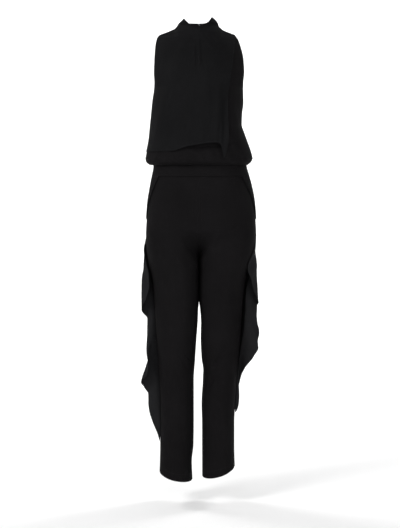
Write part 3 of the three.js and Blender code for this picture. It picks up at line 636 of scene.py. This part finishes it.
def flounce_surface(side):
    """A flounce: seam is the level on the side seam, out runs from 0 at the seam to 1 at the free edge."""
    rows, sign = FLOUNCE[side], -1 if side == "right" else 1

    def surface(seam, out):
        swing = np.radians(read(rows, "swing", "seam", seam)) * out * (0.25 + 0.75 * np.abs(out))
        z = seam - read(rows, "drop", "seam", seam) * out * (0.4 + 0.6 * np.abs(out))
        off = 0.6 + read(rows, "clear", "seam", seam) * out
        off = off + read(rows, "belly", "seam", seam) * np.sin(math.pi * out)
        turn = math.pi - swing
        along = leg_point(side, turn + 1e-3, z) - leg_point(side, turn - 1e-3, z)
        outward = np.stack([along[:, 1], -along[:, 0], np.zeros_like(z)], axis=1)
        outward *= sign / np.linalg.norm(outward, axis=1)[:, None]
        forward = read(rows, "crest", "seam", seam) * smooth(clamp(out / CREST_REACH)) * (1 - 0.5 * out)
        return leg_point(side, turn, z) + outward * off[:, None] - np.outer(forward, (0, 1, 0))
    return surface


def normals(surface, u, v, flip):
    """Outward directions of a surface, from its slope each way."""
    step_u, step_v = 1e-4 * (u.max() - u.min()), 1e-4 * (v.max() - v.min())
    along = surface(u + step_u, v) - surface(u - step_u, v)
    down = surface(u, v + step_v) - surface(u, v - step_v)
    result = np.cross(along, down)
    result /= np.maximum(np.linalg.norm(result, axis=1), 1e-12)[:, None]
    return -result if flip else result


def add_node(tree, kind, settings=None, links=None):
    """Adds a shader node, sets its properties and inputs, and links its inputs from other nodes' outputs."""
    node = tree.nodes.new(kind)
    for name, value in (settings or {}).items():
        if name in node.inputs:
            node.inputs[name].default_value = value
        else:
            setattr(node, name, value)
    for name, source in (links or {}).items():
        tree.links.new(source, node.inputs[name])
    return node


def math_node(tree, operation, first, second=None, third=None):
    """A Math node whose inputs are numbers or other nodes' outputs."""
    node = tree.nodes.new("ShaderNodeMath")
    node.operation = operation
    for socket, value in zip(node.inputs, (first, second, third)):
        if isinstance(value, (int, float)):
            socket.default_value = value
        elif value is not None:
            tree.links.new(value, socket)
    return node.outputs[0]


def colour_mix(tree, factor, first, second):
    """A mix of one node's colour with a fixed colour."""
    node = add_node(tree, "ShaderNodeMix", {"data_type": "RGBA"})
    tree.links.new(factor, node.inputs[0])
    tree.links.new(first, node.inputs[6])
    node.inputs[7].default_value = second
    return node.outputs[2]


def crepe_material(name, colour, yarn, pebble, stitch_at, roughness):
    """Woven crepe: a pebbled surface of tightly twisted yarns, faint unevenness, a stitched hem, and painted
    backlight that makes the hanging part of a flounce paler.
    """
    material = bpy.data.materials.new(name)
    material.use_nodes = True
    tree = material.node_tree
    tree.nodes.clear()
    cut = add_node(tree, "ShaderNodeUVMap", {"uv_map": "cut"}).outputs["UV"]
    place = add_node(tree, "ShaderNodeTexCoord").outputs["Object"]
    grain = add_node(tree, "ShaderNodeTexNoise", {"Scale": 1 / pebble, "Detail": 4.0, "Roughness": 0.62},
                     {"Vector": cut})
    twist = add_node(tree, "ShaderNodeTexWave", {
        "wave_type": "BANDS", "bands_direction": "DIAGONAL", "Scale": 0.31 / yarn, "Distortion": 5.0,
        "Detail": 2.0, "Detail Scale": 1.6}, {"Vector": cut})
    cloud = add_node(tree, "ShaderNodeTexNoise", {"Scale": 9.0, "Detail": 3.0, "Roughness": 0.55},
                     {"Vector": place})
    hem, run, seam, free = (
        add_node(tree, "ShaderNodeAttribute", {"attribute_name": name}).outputs["Fac"] for name in MEASURES)

    off_line = math_node(tree, "ABSOLUTE", math_node(tree, "SUBTRACT", hem, stitch_at))
    on_line = math_node(tree, "LESS_THAN", off_line, STITCH["thread"])
    stitches = math_node(tree, "SINE", math_node(tree, "MULTIPLY", run, STITCH["wave"]))
    dash = math_node(tree, "GREATER_THAN", stitches, STITCH["end"])
    thread = math_node(tree, "MULTIPLY", on_line, dash)
    dimple = math_node(tree, "MULTIPLY", math_node(tree, "LESS_THAN", off_line, STITCH["dimple"]), 0.4)
    pucker_wave = math_node(tree, "SINE", math_node(tree, "MULTIPLY", run, PUCKER["wave"]))
    near_seam = math_node(tree, "POWER", PUCKER["left"], seam)
    pucker = math_node(tree, "MULTIPLY", pucker_wave, near_seam)

    colour_ramp = add_node(tree, "ShaderNodeValToRGB", None, {"Fac": cloud.outputs["Fac"]})
    dark, pale = colour_ramp.color_ramp.elements
    dark.position, pale.position = 0.3, 0.75
    dark.color = [c * 0.86 for c in colour] + [1]
    pale.color = [c * 1.16 for c in colour] + [1]
    painted_backlight_colour = [c * FLOUNCE_PAINTED_BACKLIGHT for c in colour] + [1]
    thread_colour = [c * STITCH["paler"] for c in colour] + [1]
    # Painted backlight: where the cloth hangs free, its colour is painted paler, as if the backdrop's light
    # shone through the single layer; the cloud adds random tone
    tone_and_backlight_colour = colour_mix(tree, free, colour_ramp.outputs["Color"], painted_backlight_colour)
    stitched_colour = colour_mix(tree, thread, tone_and_backlight_colour, thread_colour)

    pebbles = math_node(tree, "MULTIPLY_ADD", twist.outputs["Fac"], 0.35, grain.outputs["Fac"])
    sewn = math_node(tree, "MULTIPLY_ADD", thread, 2.6, math_node(tree, "MULTIPLY", dimple, -2.2))
    fine = add_node(tree, "ShaderNodeBump", {"Strength": 0.55, "Distance": pebble * 0.16},
                    {"Height": pebbles})
    stitched = add_node(tree, "ShaderNodeBump", {"Strength": 0.8, "Distance": 0.00012},
                        {"Height": sewn, "Normal": fine.outputs["Normal"]})
    puckered = add_node(tree, "ShaderNodeBump", {"Strength": 0.7, "Distance": 0.0006},
                        {"Height": pucker, "Normal": stitched.outputs["Normal"]})
    rough = add_node(tree, "ShaderNodeMapRange", {"To Min": roughness - 0.07, "To Max": roughness + 0.07},
                     {"Value": grain.outputs["Fac"]})
    cloth = add_node(tree, "ShaderNodeBsdfPrincipled", {"Specular IOR Level": 0.035, "IOR": 1.46}, {
        "Base Color": stitched_colour, "Roughness": rough.outputs["Result"],
        "Normal": puckered.outputs["Normal"]})
    output = add_node(tree, "ShaderNodeOutputMaterial", None, {"Surface": cloth.outputs["BSDF"]})
    output.is_active_output = True
    return material


def slot_material(slot):
    """The cloth of a slot, made from the panel's colours on its first use."""
    name = f"{slot}_cloth"
    if name in bpy.data.materials:
        return bpy.data.materials[name]
    colours = bpy.context.scene.jumpsuit_colours
    return crepe_material(name, tuple(getattr(colours, slot)), **CREPES[slot])


def arc(grid, axis):
    """Distance along the cloth from the first row or column, in millimetres."""
    steps = np.linalg.norm(np.diff(grid, axis=axis), axis=2)
    start = np.zeros_like(np.take(steps, [0], axis=axis))
    return np.cumsum(np.concatenate([start, steps], axis=axis), axis=axis)


def cloth_panel(node, surface, us, vs, slot, flip=False, lift=None, thickness=1.2, hems=(),
                seams=("left", "right"), wall_side=-1.0, free=None):
    """A panel of cloth: a grid shaped by its surface, with its cut laid out flat as UVs, and a solid wall.

    The wall goes inwards from the surface where wall_side is -1, and half to each side where it is 0.
    """
    columns, rows = len(us), len(vs)
    mesh_data = bmesh.new()
    bmesh.ops.create_grid(mesh_data, x_segments=columns - 1, y_segments=rows - 1, size=0.5)
    corners = np.array([vert.co[:2] for vert in mesh_data.verts])
    i = np.rint((corners[:, 0] + 0.5) * (columns - 1)).astype(int)
    j = np.rint((corners[:, 1] + 0.5) * (rows - 1)).astype(int)
    u, v = us[i], vs[j]
    points, out = surface(u, v), normals(surface, u, v, flip)
    if lift is not None:
        points = points + out * lift(u, v, points)[:, None]
    grid = np.zeros((rows, columns, 3))
    grid[j, i] = points
    along, down = arc(grid, 1), arc(grid, 0)
    centred = along - along[:, columns // 2][:, None]
    edges = {"left": along, "right": along[:, -1:] - along, "top": down, "bottom": down[-1:] - down}
    far = np.full((rows, columns), float(FAR))
    hem = np.minimum.reduce([far] + [edges[name] for name in hems])
    seam = np.minimum.reduce([far] + [edges[name] for name in seams])
    run = down if set(hems or seams) & {"left", "right"} and "bottom" not in hems else along

    uv = mesh_data.loops.layers.uv.new("cut")
    layers = [mesh_data.verts.layers.float.new(name) for name in MEASURES]
    hanging = np.zeros(len(points)) if free is None else free(u, v)
    for vert, a, b, point, loose in zip(mesh_data.verts, i, j, points, hanging):
        vert.co = point * MM
        for layer, value in zip(layers, (hem[b, a], run[b, a], seam[b, a], loose)):
            vert[layer] = value
    for face in mesh_data.faces:
        face.smooth = True
        for loop in face.loops:
            a, b = i[loop.vert.index], j[loop.vert.index]
            loop[uv].uv = (centred[b, a] * MM, -down[b, a] * MM)
    for edge in mesh_data.edges:
        edge.smooth = not edge.is_boundary
    first = mesh_data.faces[:][0]
    first.normal_update()
    facing = out[first.verts[0].index]
    if first.normal.dot(facing.tolist()) < 0:
        bmesh.ops.reverse_faces(mesh_data, faces=mesh_data.faces[:])
    mesh = bpy.data.meshes.new("cloth_" + node)
    mesh_data.to_mesh(mesh)
    mesh_data.free()
    piece = bpy.data.objects.new("cloth_" + node, mesh)
    bpy.context.scene.collection.objects.link(piece)
    mesh.materials.append(slot_material(slot))
    wall = piece.modifiers.new("Cloth", "SOLIDIFY")
    wall.thickness, wall.offset, wall.use_even_offset = thickness * MM, wall_side, True
    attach(piece, "root")
    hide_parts(node)


def crease_lift(face, amount, size, seed, fade):
    """Creases and slight unevenness of one face, faded towards the panel's edges."""
    def lift(u, v, points):
        x, z = points[:, 0], points[:, 2]
        folds = fold_height(FOLDS, face, x, z) + fold_height(CREASES, face, x, z)
        return (folds + amount * drift(points, size, seed)) * fade(u, v)
    return lift


class JumpsuitCloth(bpy.types.PropertyGroup):
    """Sizes of the cloth"""

    thickness: bpy.props.FloatProperty(
        name="Crepe", description="Thickness of one layer of crepe", default=0.0012, min=0.0004, max=0.003,
        unit="LENGTH", precision=4)
    doubled: bpy.props.FloatProperty(
        name="Doubled", description="Thickness of the collar and waistband, two layers together",
        default=0.0024, min=0.0008, max=0.006, unit="LENGTH", precision=4)
    light: bpy.props.FloatProperty(
        name="Light crepe", description="Thickness of the overlay and the flounces", default=0.0009,
        min=0.0003, max=0.002, unit="LENGTH", precision=4)
    unevenness: bpy.props.FloatProperty(
        name="Unevenness", description="Height of the slight waves all over the cloth, in millimetres",
        default=0.7, min=0, max=3)
    ripple: bpy.props.FloatProperty(
        name="Ripple", description="Height of the small ripples along a flounce's free edge, in millimetres",
        default=1.6, min=0, max=5)


class JumpsuitColours(bpy.types.PropertyGroup):
    """Colours of the cloth and the stage"""

    crepe: bpy.props.FloatVectorProperty(
        name="Crepe", description="Colour of the bodice, trousers and collar", subtype="COLOR", size=3,
        min=0, max=1, default=linear("#121112"))
    # The flounces' paler colour is painted backlight shining through their single layer
    light_crepe: bpy.props.FloatVectorProperty(
        name="Light crepe", description="Colour of the overlay, from which the flounces' paler one follows",
        subtype="COLOR", size=3, min=0, max=1, default=linear("#121213"))
    backdrop: bpy.props.FloatVectorProperty(
        name="Backdrop", description="Colour of the floor and the backdrop", subtype="COLOR", size=3,
        min=0, max=1, default=linear("#f4f4f4"))


class JumpsuitStage(bpy.types.PropertyGroup):
    """The studio's sizes and lights"""

    camera_place: bpy.props.FloatVectorProperty(
        name="Camera", description="Place of the camera", subtype="TRANSLATION", unit="LENGTH",
        default=(0.0032, -4.0, -0.45))
    camera_tilt: bpy.props.FloatProperty(
        name="Tilt", description="How far the camera looks down", subtype="ANGLE",
        default=math.atan(0.289 / 4))
    lens: bpy.props.FloatProperty(
        name="Lens", description="Focal length in millimetres", default=85.45, min=10)
    floor: bpy.props.FloatProperty(
        name="Floor", description="Level of the floor", default=-1.512, unit="LENGTH")
    key: bpy.props.FloatProperty(
        name="Key", description="Power of the light to the upper left", default=112, min=0,
        unit="POWER")
    fill: bpy.props.FloatProperty(
        name="Fill", description="Power of the light to the right", default=46, min=0, unit="POWER")
    front: bpy.props.FloatProperty(
        name="Front", description="Power of the wide light near the camera", default=48, min=0, unit="POWER")
    backdrop_light: bpy.props.FloatProperty(
        name="Backdrop light", description="Power of each light on the backdrop", default=230, min=0,
        unit="POWER")
    sky: bpy.props.FloatProperty(
        name="Sky", description="Brightness of the light all round", default=0.3, min=0)


class JUMPSUIT_OT_bodice(bpy.types.Operator):
    """Builds the under front and the two back halves of the bodice, which blouse over the waist"""

    bl_idname = "jumpsuit.bodice"
    bl_label = "Bodice"

    def execute(self, context):
        cloth = context.scene.jumpsuit_cloth
        thick = cloth.thickness / MM
        rows = np.concatenate([
            np.linspace(0, 1, 56)[:-1], np.linspace(1, 2, 66)[:-1], np.linspace(2, 3, 26)])
        wide = np.sin(np.linspace(-math.pi / 2, math.pi / 2, 121))
        half = np.sin(np.linspace(0, math.pi / 2, 61))

        def fade(share, v):
            return clamp((3 - v) * 1.5) * clamp((1 - np.abs(share)) * 12) * clamp(v * 4)

        def surface(face):
            return lambda share, v: bodice_point(face, share, v)

        front = crease_lift("front", cloth.unevenness, 90, 2, fade)
        back = crease_lift("back", cloth.unevenness, 90, 5, lambda s, v: fade(s, v) * clamp(np.abs(s) * 12))
        cloth_panel("bodice_front", surface("front"), wide, rows, "crepe", flip=True, lift=front,
                    thickness=thick)
        cloth_panel("bodice_back_left", surface("back"), half, rows, "crepe", lift=back, thickness=thick)
        cloth_panel("bodice_back_right", surface("back"), -half[::-1], rows, "crepe", lift=back,
                    thickness=thick)
        return {"FINISHED"}


class JUMPSUIT_OT_overlay(bpy.types.Operator):
    """Builds the loose overlay on the front, with its centre pleat and its free left edge"""

    bl_idname = "jumpsuit.overlay"
    bl_label = "Overlay"

    def execute(self, context):
        cloth = context.scene.jumpsuit_cloth
        columns = np.concatenate([np.linspace(-1, -0.9, 20)[:-1], np.linspace(-0.9, 1, 150)])

        def lift(along, v, points):
            x, z = points[:, 0], points[:, 2]
            fade = clamp((1 + along) * 6) * clamp(v * 6)
            ripple = cloth.unevenness * drift(points, 70, 8) * (0.5 + 0.8 * clamp(v))
            return (fold_height(CREASES, "overlay", x, z) + ripple) * fade

        cloth_panel("front_overlay", overlay_surface, columns, np.linspace(0, 1, 150), "light_crepe",
                    flip=True, lift=lift, thickness=cloth.light / MM, hems=("bottom", "right"),
                    seams=("left", "top"))
        return {"FINISHED"}


class JUMPSUIT_OT_collar(bpy.types.Operator):
    """Builds the soft stand collar, open at the centre back where the concealed zip ends"""

    bl_idname = "jumpsuit.collar"
    bl_label = "Collar"

    def execute(self, context):
        cloth = context.scene.jumpsuit_cloth
        turns = np.linspace(-math.pi + COLLAR_GAP, math.pi - COLLAR_GAP, 201)

        def lift(turn, height, points):
            return 0.6 * drift(points, 34, 3) * np.sin(math.pi * clamp(height))

        cloth_panel("collar", collar_surface, turns, np.linspace(0, 1, 17), "crepe", lift=lift,
                    thickness=cloth.doubled / MM, seams=("bottom",))
        return {"FINISHED"}


class JUMPSUIT_OT_waistband(bpy.types.Operator):
    """Builds the waistband in three pieces, half hidden under the blouse"""

    bl_idname = "jumpsuit.waistband"
    bl_label = "Waistband"

    def execute(self, context):
        thick = context.scene.jumpsuit_cloth.doubled / MM
        quarter, levels = math.pi / 2, np.linspace(WAIST_SEAM, WAISTBAND["z"][-1], 19)
        pieces = {
            "waistband_front": (-quarter, quarter, 121),
            "waistband_back_left": (quarter, math.pi, 61),
            "waistband_back_right": (-math.pi, -quarter, 61),
        }
        for node, (start, end, count) in pieces.items():
            cloth_panel(node, ring_surface, np.linspace(start, end, count), levels, "crepe", flip=True,
                        thickness=thick, seams=("left", "right", "bottom"))
        return {"FINISHED"}


class JUMPSUIT_OT_trousers(bpy.types.Operator):
    """Builds the trouser fronts and backs and the side pieces behind the slant pockets"""

    bl_idname = "jumpsuit.trousers"
    bl_label = "Trousers"

    def execute(self, context):
        cloth = context.scene.jumpsuit_cloth
        thick = cloth.thickness / MM
        top = WAISTBAND["z"][-1]
        for side in ("right", "left"):
            levels = np.linspace(top, HEM[side]["low"], 261)
            for face in ("front", "back"):
                lift = crease_lift(f"leg_{face}", cloth.unevenness, 80, 11 + len(side) + len(face),
                                   lambda u, z: smooth(clamp(np.minimum(u, 1 - u) * 6)))
                cloth_panel(f"leg_{face}_{side}", leg_surface(side, face), np.linspace(0, 1, 57), levels,
                            "crepe", flip=side == "left", lift=lift, thickness=thick, hems=("bottom",))
            bottom = TROUSER_TOP - POCKET["height"]
            cloth_panel(f"pocket_{side}", pocket_surface(side), np.linspace(0, 1, 21),
                        np.linspace(top, bottom, 41), "crepe", flip=side == "left",
                        lift=lambda u, z, points: -POCKET["depth"] * clamp((1 - u) * 3), thickness=thick)
        return {"FINISHED"}


class JUMPSUIT_OT_flounces(bpy.types.Operator):
    """Builds the cascading flounce let into each side seam"""

    bl_idname = "jumpsuit.flounces"
    bl_label = "Flounces"

    def execute(self, context):
        cloth = context.scene.jumpsuit_cloth
        for side in ("right", "left"):
            seam = FLOUNCE[side]["seam"]

            def lift(place, out, points, seed=len(side)):
                ends = clamp((seam[0] - place) / 60) * clamp((place - seam[-1]) / 60)
                return cloth.ripple * drift(points, 38, seed) * clamp(out) ** 1.6 * ends

            # The free share marks where the flounce is painted paler, as painted backlight
            cloth_panel(f"flounce_{side}", flounce_surface(side), np.linspace(seam[0], seam[-1], 321),
                        np.linspace(0, 1, 41), "light_crepe", lift=lift, thickness=cloth.light / MM,
                        hems=("bottom",), seams=("top",), wall_side=0.0,
                        free=lambda place, out: smooth(clamp(out * 3)))
        return {"FINISHED"}


class JUMPSUIT_OT_cuts(bpy.types.Operator):
    """Does nothing; each panel's flat cut is only laid out as its UVs when the panel is built."""

    bl_idname = "jumpsuit.cuts"
    bl_label = "Cuts"

    def execute(self, context):
        return {"FINISHED"}


def area_light(name, place, target, size, power):
    """A soft square light that faces its target."""
    data = bpy.data.lights.new(name, "AREA")
    data.shape, data.size, data.energy = "SQUARE", size, power
    light = bpy.data.objects.new(name, data)
    light.location = place
    way = np.array(target) - np.array(place)
    across = math.hypot(way[0], way[1])
    light.rotation_euler = (math.atan2(across, -way[2]), 0, math.atan2(-way[0], way[1]))
    bpy.context.scene.collection.objects.link(light)


class JUMPSUIT_OT_stage(bpy.types.Operator):
    """Builds the pale floor and backdrop, the soft lights and the camera"""

    bl_idname = "jumpsuit.stage"
    bl_label = "Stage"

    def execute(self, context):
        scene, stage = context.scene, context.scene.jumpsuit_stage
        sweep = bmesh.new()
        bmesh.ops.create_grid(sweep, x_segments=8, y_segments=72, size=0.5)
        for vert in sweep.verts:
            along = (vert.co.y + 0.5) * SWEEP["length"]
            bend = min(max((along - SWEEP["flat"]) / SWEEP["bend"], 0), 1) * math.pi / 2
            radius = SWEEP["bend"] / (math.pi / 2)
            rise = radius * (1 - math.cos(bend)) + max(along - SWEEP["flat"] - SWEEP["bend"], 0)
            depth = min(along, SWEEP["flat"]) + radius * math.sin(bend) - SWEEP["front"]
            vert.co = (vert.co.x * SWEEP["width"], depth, stage.floor + rise)
        for face in sweep.faces:
            face.smooth = True
        mesh = bpy.data.meshes.new("backdrop")
        sweep.to_mesh(mesh)
        sweep.free()
        backdrop = bpy.data.objects.new("backdrop", mesh)
        scene.collection.objects.link(backdrop)
        paper = bpy.data.materials.new("backdrop_paper")
        paper.use_nodes = True
        tree = paper.node_tree
        tree.nodes.clear()
        shade = add_node(tree, "ShaderNodeBsdfPrincipled", {
            "Base Color": (*scene.jumpsuit_colours.backdrop, 1), "Roughness": 0.95,
            "Specular IOR Level": 0.1})
        add_node(tree, "ShaderNodeOutputMaterial", None, {"Surface": shade.outputs["BSDF"]})
        mesh.materials.append(paper)

        world = bpy.data.worlds.new("studio")
        world.use_nodes = True
        world.node_tree.nodes.clear()
        light = add_node(world.node_tree, "ShaderNodeBackground",
                         {"Color": (1, 1, 1, 1), "Strength": stage.sky})
        add_node(world.node_tree, "ShaderNodeOutputWorld", None, {"Surface": light.outputs["Background"]})
        scene.world = world

        for name, place, target, size in LIGHTS:
            area_light(name, place, target, size, getattr(stage, name))

        lens = bpy.data.cameras.new("camera")
        lens.lens, lens.sensor_width, lens.clip_end = stage.lens, 36, 100
        camera = bpy.data.objects.new("camera", lens)
        camera.location = stage.camera_place
        camera.rotation_euler = (math.pi / 2 - stage.camera_tilt, 0, 0)
        scene.collection.objects.link(camera)
        scene.camera = camera
        scene.view_settings.view_transform = "Standard"
        return {"FINISHED"}


class JUMPSUIT_PT_panel(bpy.types.Panel):
    """Lists the sizes, the colours and the steps"""

    bl_label = "Jumpsuit"
    bl_idname = "JUMPSUIT_PT_panel"
    bl_space_type = "VIEW_3D"
    bl_region_type = "UI"
    bl_category = "Jumpsuit"

    def draw(self, context):
        for group in (getattr(context.scene, name) for name in GROUPS):
            box = self.layout.box()
            for name in group.__annotations__:
                box.prop(group, name)
        for operator in OPERATORS:
            self.layout.operator(operator.bl_idname)


GROUPS = {
    "jumpsuit_cloth": JumpsuitCloth,
    "jumpsuit_colours": JumpsuitColours,
    "jumpsuit_stage": JumpsuitStage,
}
OPERATORS = (
    JUMPSUIT_OT_bodice, JUMPSUIT_OT_overlay, JUMPSUIT_OT_collar, JUMPSUIT_OT_waistband, JUMPSUIT_OT_trousers,
    JUMPSUIT_OT_flounces, JUMPSUIT_OT_cuts, JUMPSUIT_OT_stage,
)


def register():
    for group in GROUPS.values():
        bpy.utils.register_class(group)
    for name, group in GROUPS.items():
        setattr(bpy.types.Scene, name, bpy.props.PointerProperty(type=group))
    for kind in (*OPERATORS, JUMPSUIT_PT_panel):
        bpy.utils.register_class(kind)


def unregister():
    for kind in reversed((*OPERATORS, JUMPSUIT_PT_panel)):
        bpy.utils.unregister_class(kind)
    for name in GROUPS:
        delattr(bpy.types.Scene, name)
    for group in reversed(GROUPS.values()):
        bpy.utils.unregister_class(group)


def main():
    register()
    bpy.ops.jumpsuit.bodice()
    bpy.ops.jumpsuit.overlay()
    bpy.ops.jumpsuit.collar()
    bpy.ops.jumpsuit.waistband()
    bpy.ops.jumpsuit.trousers()
    bpy.ops.jumpsuit.flounces()
    bpy.ops.jumpsuit.cuts()
    bpy.ops.jumpsuit.stage()


if __name__ == "__main__":
    main()
